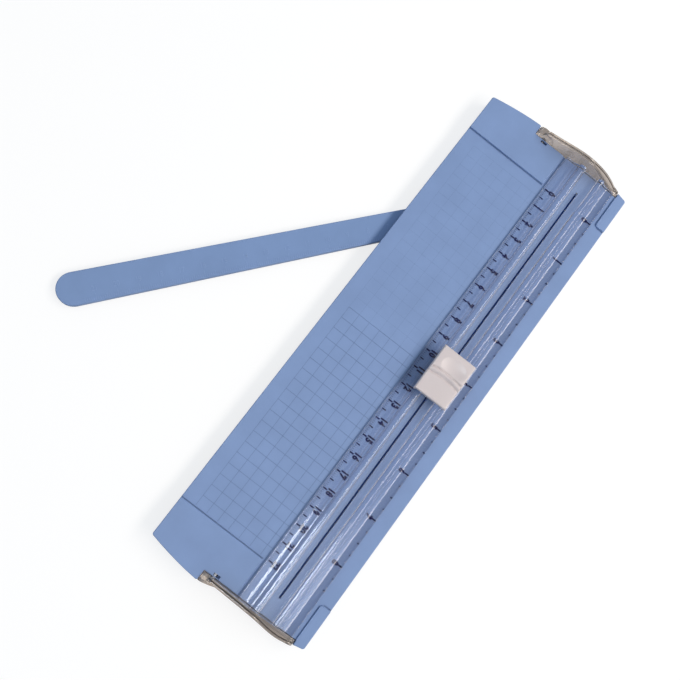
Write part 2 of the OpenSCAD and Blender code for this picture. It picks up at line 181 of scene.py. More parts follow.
def mapped(tree, value, source, target):
    """A value carried over from one range to another."""
    node = tree.nodes.new("ShaderNodeMapRange")
    feed(tree, value, node.inputs["Value"])
    for name, limit in zip(("From Min", "From Max", "To Min", "To Max"), (*source, *target)):
        feed(tree, limit, node.inputs[name])
    return node.outputs[0]


def looking_share(tree):
    """One for rays that look at the surround, and none for rays that only light the trimmer."""
    path = tree.nodes.new("ShaderNodeLightPath").outputs
    looks = path["Is Camera Ray"]
    for kind in ("Is Glossy Ray", "Is Transmission Ray"):
        looks = worked_out(tree, "ADD", looks, path[kind])
    unscattered = worked_out(tree, "LESS_THAN", path["Diffuse Depth"], 0.5)
    return worked_out(tree, "MULTIPLY", looks, unscattered)


# %% Set the surround
fill_level = 0.45
fill_tint = (0.85, 1.0, 1.15, 1.0)
paper_white = (1.0, 1.0, 1.0, 1.0)
ceiling_level = 0.12
ceiling_rise = (0.25, 0.8)
surround = bpy.data.worlds.new("surround")
surround.use_nodes = True
surround_tree = surround.node_tree
surround_light = surround_tree.nodes["Background"]
direction = surround_tree.nodes.new("ShaderNodeTexCoord")
upward = surround_tree.nodes.new("ShaderNodeSeparateXYZ")
surround_tree.links.new(direction.outputs["Generated"], upward.inputs[0])
ceiling = mapped(surround_tree, upward.outputs["Z"], ceiling_rise, (1.0, ceiling_level))
surround_path = surround_tree.nodes.new("ShaderNodeLightPath")
backdrop = worked_out(surround_tree, "MAXIMUM", surround_path.outputs["Is Camera Ray"], ceiling)
looking = looking_share(surround_tree)
surround_level = mapped(surround_tree, looking, (0, 1), (fill_level, backdrop))
surround_tint = surround_tree.nodes.new("ShaderNodeValToRGB")
surround_tint.color_ramp.elements[0].color = fill_tint
surround_tint.color_ramp.elements[1].color = paper_white
surround_tree.links.new(looking, surround_tint.inputs[0])
surround_tree.links.new(surround_tint.outputs[0], surround_light.inputs["Color"])
surround_tree.links.new(surround_level, surround_light.inputs["Strength"])
bpy.context.scene.world = surround
print("surround gives", fill_level, "of the light")

# %% Lay the white floor
def new_finish(name):
    """A new material, the tree of its nodes, and the shader in that tree."""
    finish = bpy.data.materials.new(name)
    finish.use_nodes = True
    return finish, finish.node_tree, finish.node_tree.nodes["Principled BSDF"]


floor_glow = 0.78
floor_half = 4.0
floor_z = -0.00005
floor_corners = [(-1, -1), (1, -1), (1, 1), (-1, 1)]
floor_white, floor_tree, floor_skin = new_finish("floor_white")
floor_skin.inputs["Base Color"].default_value = (0.26, 0.26, 0.26, 1.0)
floor_skin.inputs["Roughness"].default_value = 0.9
floor_skin.inputs["Specular IOR Level"].default_value = 0.0
floor_skin.inputs["Emission Color"].default_value = paper_white
glow = mapped(floor_tree, looking_share(floor_tree), (0, 1), (0, floor_glow))
floor_tree.links.new(glow, floor_skin.inputs["Emission Strength"])
floor_sheet = bmesh.new()
floor_sheet.faces.new([floor_sheet.verts.new((x * floor_half, y * floor_half, floor_z))
                       for x, y in floor_corners])
floor_mesh = bpy.data.meshes.new("floor")
floor_sheet.to_mesh(floor_mesh)
floor_sheet.free()
floor_mesh.materials.append(floor_white)
floor = put_in_scene("floor", floor_mesh)
print("floor", 2 * floor_half, "m wide")

# %% [markdown]
# ## Moulded plastic
# The base, the ruler, the cap and the small running parts are injection moulded. Such plastic is
# never one flat colour: the pigment clouds a little, and the mould's fine grain scatters the gloss.
# Noise in object coordinates gives both at their real size, and a little bump lets the light catch it.

# %% Noise, and what a finish makes of it
noise_middle = (0.25, 0.75)
ramp_ends = (0.3, 0.7)


def cloud(tree, size, detail, stretch=None):
    """Noise with lumps of a size in millimetres, in the piece's own coordinates, drawn out if asked."""
    place = tree.nodes.new("ShaderNodeTexCoord").outputs["Object"]
    if stretch:
        mapping = tree.nodes.new("ShaderNodeMapping")
        mapping.inputs["Scale"].default_value = stretch
        tree.links.new(place, mapping.inputs["Vector"])
        place = mapping.outputs[0]
    noise = tree.nodes.new("ShaderNodeTexNoise")
    noise.inputs["Scale"].default_value = METRE / size
    noise.inputs["Detail"].default_value = detail
    tree.links.new(place, noise.inputs["Vector"])
    return noise.outputs[0]


def shade_between(tree, source, dark, light):
    """A colour that runs from dark to light with a noise."""
    ramp = tree.nodes.new("ShaderNodeValToRGB")
    for element, position, colour in zip(ramp.color_ramp.elements, ramp_ends, (dark, light)):
        element.position = position
        element.color = (*colour, 1.0)
    tree.links.new(source, ramp.inputs[0])
    return ramp.outputs[0]


def bumped(tree, source, depth, strength):
    """A surface tilt from a noise of a depth in millimetres."""
    bump = tree.nodes.new("ShaderNodeBump")
    bump.inputs["Distance"].default_value = depth / METRE
    bump.inputs["Strength"].default_value = strength
    tree.links.new(source, bump.inputs["Height"])
    return bump.outputs[0]


def colour_skin(tree, skin, tone, dark, light, dullness, roughness):
    """Gives a shader a colour that follows one noise, and a roughness that follows another."""
    tree.links.new(shade_between(tree, tone, dark, light), skin.inputs["Base Color"])
    tree.links.new(mapped(tree, dullness, noise_middle, roughness), skin.inputs["Roughness"])


# %% Finish of moulded plastic
pigment_lump = 14
pigment_detail = 4
grain_detail = 2
grain_strength = 0.35
gloss_spread = 0.06
plastic_bend = 1.5


def moulded(name, colour, roughness, clouding=0.04, grain=0.35, depth=0.02, gloss=0.5):
    """Opaque moulded plastic of a colour, with clouded pigment and the grain of its mould."""
    finish, tree, skin = new_finish(name)
    dark = [part * (1 - clouding) for part in colour]
    light = [part * (1 + clouding) for part in colour]
    pigment = cloud(tree, pigment_lump, pigment_detail)
    fine = cloud(tree, grain, grain_detail)
    dull = (roughness - gloss_spread, roughness + gloss_spread)
    colour_skin(tree, skin, pigment, dark, light, fine, dull)
    tree.links.new(bumped(tree, fine, depth, grain_strength), skin.inputs["Normal"])
    skin.inputs["IOR"].default_value = plastic_bend
    skin.inputs["Specular IOR Level"].default_value = gloss
    return finish


base_blue = moulded("base_blue", (0.234, 0.336, 0.576), 0.5, gloss=0.15)
# Darker blue of the grid's engraved lines, and painted shade in the grooves at the foot of each raised
# end.
grid_and_step_shade_blue = moulded("grid_and_step_shade_blue", (0.160, 0.240, 0.425), 0.55, gloss=0.15)
ruler_blue = moulded("ruler_blue", (0.218, 0.325, 0.565), 0.48, gloss=0.15)
mark_blue = moulded("mark_blue", (0.254, 0.370, 0.615), 0.42, gloss=0.15)
strip_navy = moulded("strip_navy", (0.003, 0.050, 0.300), 0.45, gloss=0.1)
cap_white = moulded("cap_white", (0.675, 0.600, 0.598), 0.36, clouding=0.02, depth=0.006)
runner_grey = moulded("runner_grey", (0.560, 0.570, 0.590), 0.42)
foot_rubber = moulded("foot_rubber", (0.030, 0.031, 0.034), 0.78, grain=0.2, depth=0.03)
print("plastics:", base_blue.name, grid_and_step_shade_blue.name, ruler_blue.name, strip_navy.name, cap_white.name)

# %% [markdown]
# ## Metal
# The blade, the pins, the screw and the springs are steel. Ground steel shows fine scratches along
# one direction, so its noise is stretched along one axis, and that drives the roughness and a bump.

# %% Finish of steel
scratch_width = 0.12
scratch_squeeze = 0.06
scratch_detail = 3
scratch_depth = 0.004
scratch_strength = 0.4
scratch_shade = 0.88
scratch_smoother, scratch_rougher = 0.08, 0.1


def ground_steel(name, colour, roughness, along):
    """Steel with fine scratches along an axis."""
    finish, tree, skin = new_finish(name)
    stretch = [scratch_squeeze if axis == along else 1.0 for axis in "xyz"]
    lines = cloud(tree, scratch_width, scratch_detail, stretch)
    dark = [part * scratch_shade for part in colour]
    dull = (roughness - scratch_smoother, roughness + scratch_rougher)
    colour_skin(tree, skin, lines, dark, colour, lines, dull)
    tree.links.new(bumped(tree, lines, scratch_depth, scratch_strength), skin.inputs["Normal"])
    skin.inputs["Metallic"].default_value = 1.0
    return finish


# Steel of the hinge pins, tinted dark: partly painted shade for the gap of the window it shows through.
hinge_steel_shaded = ground_steel("hinge_steel_shaded", (0.20, 0.21, 0.23), 0.42, "y")
pin_steel = ground_steel("pin_steel", (0.46, 0.47, 0.49), 0.32, "y")
blade_steel = ground_steel("blade_steel", (0.70, 0.71, 0.73), 0.22, "z")
print("metals:", hinge_steel_shaded.name, pin_steel.name, blade_steel.name)

# %% [markdown]
# ## Clear plastic
# The rail and its two end arms are clear acrylic. A glass shader alone would throw a full black
# shadow, because lamps are not traced through it. Real clear plastic lets most light through, so a
# transparent shader answers the rays that carry light to the table, from lamps and from the
# surround, and the refracting one answers the rays that look. The melt's flow leaves faint waves that
# run along the rail and split the streaks on it into finer lines. Light that meets an upright edge of
# clear plastic is bent away, so edges look dark and throw a band of shade: the walls get a darker
# tint, which is painted shade, and the left rim, away from the key lamp, a darker painted shade still.
# The strip over the inches has a darker tint, also painted shade, and the floor of the cutter's track
# a lighter and slightly milky one, painted light for the light that the walls bend onto it. The arms
# are cloudy with wear, so part of their light is scattered, and their tint runs from lighter at the
# heel to darker at the tip, painted light and painted shade.

# %% Finish of clear plastic
acrylic_bend = 1.49
melt_detail = 2
wave_strength = 0.3
wear_size = 0.8
wear_detail = 2
wear_spread = 0.02


def falling(tree, noise, start, end):
    """A noise that also falls by one from a place across to another, both in millimetres."""
    place = tree.nodes.new("ShaderNodeTexCoord")
    parts = tree.nodes.new("ShaderNodeSeparateXYZ")
    tree.links.new(place.outputs["Object"], parts.inputs[0])
    fall = mapped(tree, parts.outputs["X"], (start / METRE, end / METRE), (0.5, -0.5))
    return worked_out(tree, "ADD", noise, fall)


def clear(name, dark, light, shadow, melt, smooth, haze=0.0, fade=None):
    """Clear moulded plastic between two tints, which lets lamp light through in a third.

    The melt's waves are a lump wide, run times as long, and waves millimetres deep. With a fade, the
    tint goes from light to dark between two places across, as painted light and painted shade.
    """
    finish, tree, skin = new_finish(name)
    lump, run, waves = melt
    flow = cloud(tree, lump, melt_detail, (1.0, 1.0 / run, 1.0))
    wear = cloud(tree, wear_size, wear_detail)
    tone = falling(tree, flow, *fade) if fade else flow
    colour_skin(tree, skin, tone, dark, light, wear, (smooth, smooth + wear_spread))
    tree.links.new(bumped(tree, flow, waves, wave_strength), skin.inputs["Normal"])
    skin.inputs["Transmission Weight"].default_value = 1.0 - haze
    skin.inputs["IOR"].default_value = acrylic_bend
    passing = tree.nodes.new("ShaderNodeBsdfTransparent")
    passing.inputs["Color"].default_value = (*shadow, 1.0)
    path = tree.nodes.new("ShaderNodeLightPath")
    shown = skin.outputs[0]
    for kind in ("Is Shadow Ray", "Is Diffuse Ray"):
        either = tree.nodes.new("ShaderNodeMixShader")
        for socket, source in zip(either.inputs, (path.outputs[kind], shown, passing.outputs[0])):
            tree.links.new(source, socket)
        shown = either.outputs[0]
    tree.links.new(shown, tree.nodes["Material Output"].inputs["Surface"])
    return finish


rail_flow = (1.2, 480, 0.0015)
rail_smooth = 0.1
arm_flow = (9, 1, 0.01)
# The arms' tint is lighter at the heel and darker at the tip: painted light and painted shade.
arm_light_and_shade_fade = (hinge.x - 8, hinge.x + 34)
rail_clear = clear("rail_clear", (0.92, 0.93, 0.97), (0.95, 0.96, 1.0), (0.97, 0.97, 0.98),
                   rail_flow, rail_smooth)
# Steep faces get a darker tint: painted shade, for the light that upright clear edges bend away.
rail_steep_shade = clear("rail_steep_shade", (0.56, 0.58, 0.66), (0.62, 0.64, 0.72), (0.62, 0.62, 0.67),
                  rail_flow, rail_smooth)
# The left rim, away from the key lamp, gets a darker tint still: painted shade.
rail_left_rim_shade = clear("rail_left_rim_shade", (0.42, 0.45, 0.53), (0.50, 0.53, 0.61), (0.15, 0.15, 0.18),
                 rail_flow, rail_smooth)
# The strip over the inches gets a darker tint: painted shade.
rail_inch_strip_shade = clear("rail_inch_strip_shade", (0.70, 0.69, 0.70), (0.76, 0.75, 0.76), (0.86, 0.85, 0.86),
                   rail_flow, rail_smooth)
# The floor of the track gets a lighter, slightly milky tint: painted light for the light that the walls
# bend onto it.
rail_floor_light = clear("rail_floor_light", (0.90, 0.95, 1.0), (0.95, 0.98, 1.0), (1.0, 1.0, 1.0),
                   rail_flow, rail_smooth, haze=0.06)
arm_clear = clear("arm_clear", (0.48, 0.42, 0.38), (0.80, 0.68, 0.58), (0.72, 0.67, 0.62),
                  arm_flow, 0.16, haze=0.34, fade=arm_light_and_shade_fade)
# The seam is tinted near black: painted shade for the dark lines at the edges of clear plastic.
arm_seam_shade = clear("arm_seam_shade", (0.02, 0.014, 0.012), (0.04, 0.028, 0.024), (0.5, 0.45, 0.42),
                 arm_flow, 0.3, haze=0.7)
rail_finishes = [rail_clear, rail_steep_shade, rail_left_rim_shade, rail_inch_strip_shade, rail_floor_light]
arm_finishes = [arm_clear, arm_seam_shade]
print("clear plastics:", ", ".join(finish.name for finish in rail_finishes + arm_finishes))

# %% [markdown]
# ## Turning a mesh into a piece
# Each piece is drawn in a bmesh, Blender's editable mesh, and then handed over in one place: it is
# shrunk to metres, its faces are turned outwards, it gets its materials, its flats are kept flat and
# its curves smooth, it is hung on the body it rides on, and the solids it stands for are hidden.

# %% Hand a drawn mesh over as a piece
weld_distance = 0.002
flat_turn = 0.1


def mesh_of(drawn, name, finishes):
    """A mesh in metres of a drawing in millimetres, with its faces turned outwards."""
    drawn.transform(Matrix.Scale(1 / METRE, 4))
    bmesh.ops.recalc_face_normals(drawn, faces=drawn.faces)
    mesh = bpy.data.meshes.new(name)
    drawn.to_mesh(mesh)
    drawn.free()
    for finish in finishes:
        mesh.materials.append(finish)
    return mesh


def shade(mesh, sharp=32):
    """Shades a mesh smooth, but for edges that turn by more than sharp degrees."""
    mesh.shade_smooth()
    mesh.set_sharp_from_angle(angle=math.radians(sharp))


def hand_over(drawn, name, body, finishes, stands_for=(), sharp=32):
    """Makes a piece of a drawing in millimetres."""
    mesh = mesh_of(drawn, name, finishes)
    shade(mesh, sharp)
    piece = put_in_scene(name, mesh)
    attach(piece, body)
    if stands_for:
        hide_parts(*stands_for)
    print(name, "has", len(mesh.polygons), "faces and rides on", body)
    return piece


def flats_kept_flat(piece):
    """Lets large flat faces decide the shading of the small round ones beside them."""
    weights = piece.modifiers.new("flats", "WEIGHTED_NORMAL")
    weights.keep_sharp = True


def drawn_from(node):
    """A solid's surface in millimetres, with its flat faces joined up."""
    mesh = solids[node].data.copy()
    if "custom_normal" in mesh.attributes:
        mesh.attributes.remove(mesh.attributes["custom_normal"])
    drawn = bmesh.new()
    drawn.from_mesh(mesh)
    bpy.data.meshes.remove(mesh)
    drawn.transform(Matrix.Scale(METRE, 4))
    bmesh.ops.remove_doubles(drawn, verts=drawn.verts, dist=weld_distance)
    bmesh.ops.dissolve_limit(drawn, angle_limit=math.radians(flat_turn), verts=drawn.verts,
                             edges=drawn.edges)
    return drawn


def crisp_edges(drawn, angle=30):
    """Outward edges that turn by more than an angle."""
    least = math.radians(angle)
    return [edge for edge in drawn.edges
            if len(edge.link_faces) == 2 and edge.is_convex and edge.calc_face_angle() > least]


def round_over(drawn, chosen, radius, steps=3):
    """Rounds to a radius the crisp edges that a test chooses."""
    edges = [edge for edge in crisp_edges(drawn) if chosen(edge)]
    bmesh.ops.bevel(drawn, geom=edges, offset=radius, offset_type="OFFSET", segments=steps,
                    profile=0.5, affect="EDGES", clamp_overlap=False)


# %% [markdown]
# ## Base
# The base is one hollow moulding. Its outside could be drawn again, but the solid already has every
# wall, pocket and rib, so its surface is copied. What the solid lacks is what a mould leaves: each
# upper edge is rounded, and those roundings carry the thin light lines along the table's rim. The
# wall beside each arm's heel is brought closer to it, and its corner runs smoothly into the arm.

# %% Bring the wall beside each heel closer
base = drawn_from("base_shell")
pocket_wall = hinge.x - 6.3
pocket_close = 1.1
pocket_start = 129
same_within = 0.05


def same(first, second):
    """Whether two lengths are the same, but for rounding."""
    return abs(first - second) < same_within


for corner in base.verts:
    if same(corner.co.x, pocket_wall) and abs(corner.co.y) > pocket_start:
        corner.co.x += pocket_close
print("wall beside the heels moved by", pocket_close, "mm")

# %% Round the upper edges of the base
corner_start = 131
pocket_mouth = 134
slot_clear = 1.0
block_x = rail_x + 16.7
block_round = 1.5
step_y = 111.2
window_low = (hinge.x - 1.4, 127.5)
window_high = (hinge.x + 3.0, 129.6)


def middle_of(edge):
    return (edge.verts[0].co + edge.verts[1].co) / 2


def upright(edge):
    return abs(edge.verts[0].co.z - edge.verts[1].co.z) > 0.9 * edge.calc_length()


def in_window(point):
    """Whether a point is at the small window above a hinge pin."""
    across = window_low[0] < point.x < window_high[0]
    return across and window_low[1] < abs(point.y) < window_high[1]


def outer_corner(edge):
    """Whether an edge is one of the four upright corners of the base."""
    place = middle_of(edge)
    at_side = same(abs(place.x - base_x), base_high.x - base_x)
    return upright(edge) and at_side and abs(place.y) > corner_start


def pocket_corner(edge):
    """Whether an edge is the upright corner beside an arm's heel."""
    place = middle_of(edge)
    at_wall = same(place.x, pocket_wall + pocket_close)
    return upright(edge) and at_wall and abs(place.y) > pocket_mouth


def block_corner(edge):
    """Whether an edge is the upright inner corner of a raised block to the right of the rail."""
    place = middle_of(edge)
    return upright(edge) and same(place.x, block_x) and same(abs(place.y), step_y)


def upper_rim(edge):
    """Whether an edge is on the table or a raised end, away from the slot and the windows."""
    place = middle_of(edge)
    high = min(end.co.z for end in edge.verts) > table_z - same_within
    return high and abs(place.x - rail_x) > slot_clear and not in_window(place)


round_over(base, outer_corner, 0.9, 4)
round_over(base, pocket_corner, 0.8, 4)
round_over(base, block_corner, block_round, 6)
round_over(base, upper_rim, 0.4)
base_finishes = [base_blue, grid_and_step_shade_blue]
base_piece = hand_over(base, "base", "base", base_finishes, ["base_shell"])

# %% [markdown]
# ## Grid on the table
# The table carries a square grid of fine engraved lines, to line paper up by. Lines could be painted
# in the material, but a groove also catches the light, so thin bars are cut out of the table with
# boolean modifiers, one for each set of lines. The cut faces keep the bars' darker blue. Hands and
# paper have polished the rear half, so the grooves are finer there. A wider groove in the same darker
# blue runs along the foot of each raised end, as painted shade where the step meets the table, and
# the rear one is shallow.

# %% Bars that cut grooves
bar_above = 0.5


def add_bar(drawn, low, high):
    """A bar between two opposite corners."""
    size = Vector(high) - Vector(low)
    middle = (Vector(high) + Vector(low)) / 2
    shape = Matrix.Translation(middle) @ Matrix.Diagonal((*size, 1))
    bmesh.ops.create_cube(drawn, size=1, matrix=shape)


def groove_bars(spans, groove):
    """Bars in the darker blue that cut grooves of a width and a depth where the spans are."""
    width, depth = groove
    bars = bmesh.new()
    for (x0, y0), (x1, y1) in spans:
        wide = width / 2 if x0 == x1 else 0
        tall = width / 2 if y0 == y1 else 0
        low = (x0 - wide, y0 - tall, table_z - depth)
        add_bar(bars, low, (x1 + wide, y1 + tall, table_z + bar_above))
    for face in bars.faces:
        face.material_index = base_finishes.index(grid_and_step_shade_blue)
    return bars


def combine(piece, operation, drawn, finishes=()):
    """Cuts a drawn shape out of a piece, or joins it on as one skin."""
    tool = put_in_scene("tool", mesh_of(drawn, "tool", finishes))
    change = piece.modifiers.new("change", "BOOLEAN")
    change.operation = operation
    change.solver = "EXACT"
    change.object = tool
    seen = bpy.context.evaluated_depsgraph_get()
    changed = bpy.data.meshes.new_from_object(piece.evaluated_get(seen))
    piece.modifiers.remove(change)
    piece.data = changed
    bpy.data.objects.remove(tool)


# %% Cut the grid and the grooves at the raised ends
grid_pitch = 6.0
grid_right = base_x + 1.5
grid_overrun = 2.5
grid_front = -110.2
first_row = -105
worn_start = 3.0
grid_columns = [grid_right - grid_pitch * i for i in range(7)]
grid_rows = [first_row + grid_pitch * i for i in range(36)]
column_groove = (0.17, 0.09)
row_groove = (0.2, 0.12)
worn_groove = (0.06, 0.03)
step_groove = (0.5, 0.45)
worn_step_groove = (0.55, 0.2)
step_gap = 0.03
side_overrun = 1
rail_bed = 16.1


def grid_row(y):
    return (grid_columns[-1], y), (grid_right + grid_overrun, y)


def step_line(y):
    """Line along a raised end, on both sides of the rail, that runs out past the base's sides."""
    left = (base_low.x - side_overrun, y), (rail_x - rail_bed, y)
    right = (block_x + block_round, y), (base_high.x + side_overrun, y)
    return [left, right]


columns = [((x, grid_front), (x, worn_start)) for x in grid_columns]
worn_columns = [((x, worn_start), (x, grid_rows[-1])) for x in grid_columns]
rows = [grid_row(y) for y in grid_rows if y <= worn_start]
worn_rows = [grid_row(y) for y in grid_rows if y > worn_start]
# The grooves at the raised ends take the darker blue as painted shade at the foot of each step.
front_step = step_line(-step_y + step_groove[0] / 2 + step_gap)
rear_step = step_line(step_y - worn_step_groove[0] / 2 - step_gap)
cuts = [(columns, column_groove), (worn_columns, worn_groove), (rows, row_groove),
        (worn_rows, worn_groove), (front_step, step_groove), (rear_step, worn_step_groove)]
for spans, groove in cuts:
    combine(base_piece, "DIFFERENCE", groove_bars(spans, groove), base_finishes)
flats_kept_flat(base_piece)
print("base with its grid has", len(base_piece.data.polygons), "faces")

# %% [markdown]
# ## Clear rail
# The rail is an extruded-looking moulding: two flat scale strips, a step up on each side, and two
# walls with lips that hold the cutter's runner. Its section is drawn once with true roundings and
# carried along the rail, because those small roundings are what show as white streaks. The right
# lip is cut back near the rear, where the runner goes in, and the blade's slot is cut out last.

# %% Draw the rail's section
rail_half = (rail_high.x - rail_low.x) / 2
rail_end = rail_high.y - 0.02
strip_top = 1.4
strip_round = 0.4
strip_foot = 0.12
step_middle = (11.5, 5.8)
step_radius = 4.4
step_turn = 227.5
ledge_middle = (8.189, 2.187)
ledge_round = 0.5
foot_round = 0.4
foot_z = 3.1
lip_edge = 3.6
lip_under = 3.4
floor_round = 0.25
track_floor = 1.3
wall_inside = 4.4
wall_outside = 7.4
wall_top = 5.0
outer_round = 0.65
inner_round = 0.5
crown_turn = 40


def arc(centre, radius, start, end, steps=6):
    """Points on an arc in a section, across and up, from one angle to another."""
    turns = [math.radians(start + (end - start) * i / steps) for i in range(steps + 1)]
    return [(centre[0] + radius * math.cos(t), centre[1] + radius * math.sin(t)) for t in turns]


def wall_crown(lip):
    """Crowned top of a wall, from its outer face over to its lip, tangent all the way."""
    lean = math.radians(90 - crown_turn)
    outer_x = wall_outside - outer_round
    inner_x = lip + inner_round
    start = outer_x + outer_round * math.cos(lean)
    end = inner_x - inner_round * math.cos(lean)
    crown = (start - end) / 2 / math.cos(lean)
    shoulder = wall_top - crown * (1 - math.sin(lean))
    outer = arc((outer_x, shoulder - outer_round * math.sin(lean)), outer_round, 0, 90 - crown_turn)
    over = arc(((start + end) / 2, wall_top - crown), crown, 90 - crown_turn, 90 + crown_turn, 8)
    inner = arc((inner_x, shoulder - inner_round * math.sin(lean)), inner_round, 90 + crown_turn, 180)
    return outer + over[1:-1] + inner


def rail_side(lip):
    """Right half of the rail's section, from its outer edge in, with its lip at a distance across."""
    strip = arc((rail_half - strip_foot, strip_foot), strip_foot, 270, 360, 2)
    strip += arc((rail_half - strip_round, strip_top - strip_round), strip_round, 0, 90)
    step = arc(step_middle, step_radius, 270, step_turn, 12)
    step += arc(ledge_middle, ledge_round, step_turn - 180, 90, 4)[1:]
    foot = arc((wall_outside + foot_round, foot_z), foot_round, 270, 180, 4)
    under_lip = [(lip, lip_under), (wall_inside, lip_under)]
    floor_corner = arc((wall_inside - floor_round, track_floor + floor_round), floor_round, 0, -90, 3)
    return strip + step + foot + wall_crown(lip) + under_lip + floor_corner


def rail_ring(lip):
    """The whole section, left and right of the axis, in the order of its outline."""
    left = [(-x, z) for x, z in reversed(rail_side(lip_edge))]
    return rail_side(lip) + left


print("the rail's section has", len(rail_ring(lip_edge)), "points")

# %% Carry the section along
def carry(drawn, rings):
    """Joins rings of points into a closed bar."""
    made = [[drawn.verts.new(point) for point in ring] for ring in rings]
    for first, second in zip(made, made[1:]):
        for i in range(len(first)):
            j = (i + 1) % len(first)
            drawn.faces.new((first[i], first[j], second[j], second[i]))
    drawn.faces.new(reversed(made[0]))
    drawn.faces.new(made[-1])


entry_start = 106
entry_taper = 8
entry_lip = wall_inside - 0.02
stations = [(-rail_end, lip_edge), (entry_start, lip_edge),
            (entry_start + entry_taper, entry_lip), (rail_end, entry_lip)]
rail = bmesh.new()
carry(rail, [[(rail_x + x, y, rail_low.z + z) for x, z in rail_ring(lip)] for y, lip in stations])
rail_piece = hand_over(rail, "rail", "rail", rail_finishes, ["clear_rail"])

# %% Cut the blade's slot out of the rail
slot_half = 0.55
slot_front, slot_rear = -120, 118.4
slot_below, slot_above = 1, 2.5
slot_bar = bmesh.new()
add_bar(slot_bar, (rail_x - slot_half, slot_front, rail_low.z - slot_below),
        (rail_x + slot_half, slot_rear, rail_low.z + slot_above))
combine(rail_piece, "DIFFERENCE", slot_bar)
print("slot is", round(slot_rear - slot_front, 1), "mm long")

# %% Choose the clear plastic of each face
steep = 0.85
rim_steep = 0.98
rim_start = 14.0
inch_shade_start = 11.0


# Steep faces, the left rim and the inch strip get painted shade, and the track floor gets painted
# light.
def rail_finish(face):
    """Which of the rail's clear plastics a face shows."""
    across = face.center.x * METRE - rail_x
    on_top = face.normal.z > rim_steep
    if on_top and abs(across) < wall_inside:
        return rail_floor_light
    if on_top and across > inch_shade_start:
        return rail_inch_strip_shade
    level = abs(face.normal.z) > (rim_steep if abs(across) > rim_start else steep)
    if level or abs(face.normal.y) > steep:
        return rail_clear
    return rail_left_rim_shade if across < -rim_start else rail_steep_shade


for face in rail_piece.data.polygons:
    face.material_index = rail_finishes.index(rail_finish(face))
flats_kept_flat(rail_piece)
print("rail with its slot has", len(rail_piece.data.polygons), "faces")

# %% [markdown]
# ## End arms
# A lens-shaped plate closes the rail at each end and carries it on the hinge. Its outer face swells
# towards the tip, where it runs on from the end of the base, and it has a rim round a shallow recess
# and a round boss at the hinge. Its heel is round about the hinge, so that it clears the base as the
# rail flips up. The outline is a run of curves, and the plate is built up in layers of that outline,
# each drawn in a little further. The mould's seam runs round it as a fine groove, tinted near black
# as painted shade, for the dark lines that the edges of clear plastic show.

# %% Outline of an arm
arm_tip = base_x + 36.4
arm_bottom = hinge.z - 4
arm_rise = 10.8
arch_floor = base_high.z
heel_curve = [(-5, 0), (-5, 1.85), (-3.98, 3.54), (-2.35, 4.41)]
heel_drawn_in = [(1, 0), (1, -0.37), (0.8, -0.7), (0.47, -0.88)]
neck_out = Vector((1.06, 0.56))
neck_in = Vector((0.5, 1.6))


def curve_points(a, b, c, d, steps):
    """Points on a curve from a to d that leaves towards b and arrives from c."""
    points = []
    for i in range(steps + 1):
        t = i / steps
        s = 1 - t
        weights = (s * s * s, 3 * s * s * t, 3 * s * t * t, t * t * t)
        points.append(sum((w * p for w, p in zip(weights, (a, b, c, d))), Vector((0, 0))))
    return points


def heel_points(inset):
    """The four points that steer the curve of the heel, round the hinge."""
    return [Vector((hinge.x + x + across * inset, hinge.z + z + up * inset))
            for (x, z), (across, up) in zip(heel_curve, heel_drawn_in)]


def arm_outline(inset):
    """Outline of an arm, across and up, drawn in by an inset."""
    heel = heel_points(inset)
    arch_start = Vector((hinge.x - 0.3, arch_floor + 0.58 * arm_rise - inset))
    arch_rise = Vector((rail_x - 10, arch_floor + 0.926 * arm_rise - inset))
    arch_fall = Vector((rail_x - 8 - inset, arch_floor + 1.48 * arm_rise - inset))
    arch_end = Vector((rail_x + 13.2 - 2 * inset, arch_floor + 0.4))
    nose_rise = Vector((rail_x + 14.6 - 2 * inset, arch_floor - 0.35))
    nose_fall = Vector((arm_tip - 2 * inset, arch_floor - 0.3))
    tip = Vector((arm_tip - 2 * inset, arch_floor - 1.2))
    foot = Vector((arm_tip - 2 * inset, arm_bottom + inset))
    root = Vector((hinge.x, arm_bottom + inset))
    back = curve_points(*heel, 8)
    neck = curve_points(heel[-1], heel[-1] + neck_out, arch_start - neck_in, arch_start, 8)
    arch = curve_points(arch_start, arch_rise, arch_fall, arch_end, 60)
    nose = curve_points(arch_end, nose_rise, nose_fall, tip, 12)
    return back + neck[1:] + arch[1:] + nose[1:] + [foot, root]


print("an arm's outline has", len(arm_outline(0)), "points")

# %% Layers of an arm
arm_start = rail_high.y
arm_web = 1.6
arm_thin = 2.2
arm_swell = 1.7
swell_x = rail_x + 8.5
swell_reach = 11.0
seam_place = 1.3
seam_half = 0.26
seam_depth = 0.16
seam_layers = [(0.0, seam_place + seam_half), (seam_depth, seam_place), (0.0, seam_place - seam_half)]
rim_layers = [(0.0, 0.45), (0.14, 0.12), (0.45, 0.0), (1.2, 0.0), (1.5, 0.06)]
recess_inset = 1.9
recess_least = 0.12


def outer_face(x):
    """How far out the swelling outer face of an arm is."""
    return arm_start + arm_thin + arm_swell * math.exp(-((x - swell_x) / swell_reach) ** 2)


def inner_face(x):
    return arm_start


def recess_floor(x):
    return min(arm_start + arm_web, outer_face(x) - recess_least)


def arm_layer(inset, face, behind=0.0):
    """An outline drawn in by an inset, at a distance behind a face."""
    return [(point.x, face(point.x) - behind, point.y) for point in arm_outline(inset)]


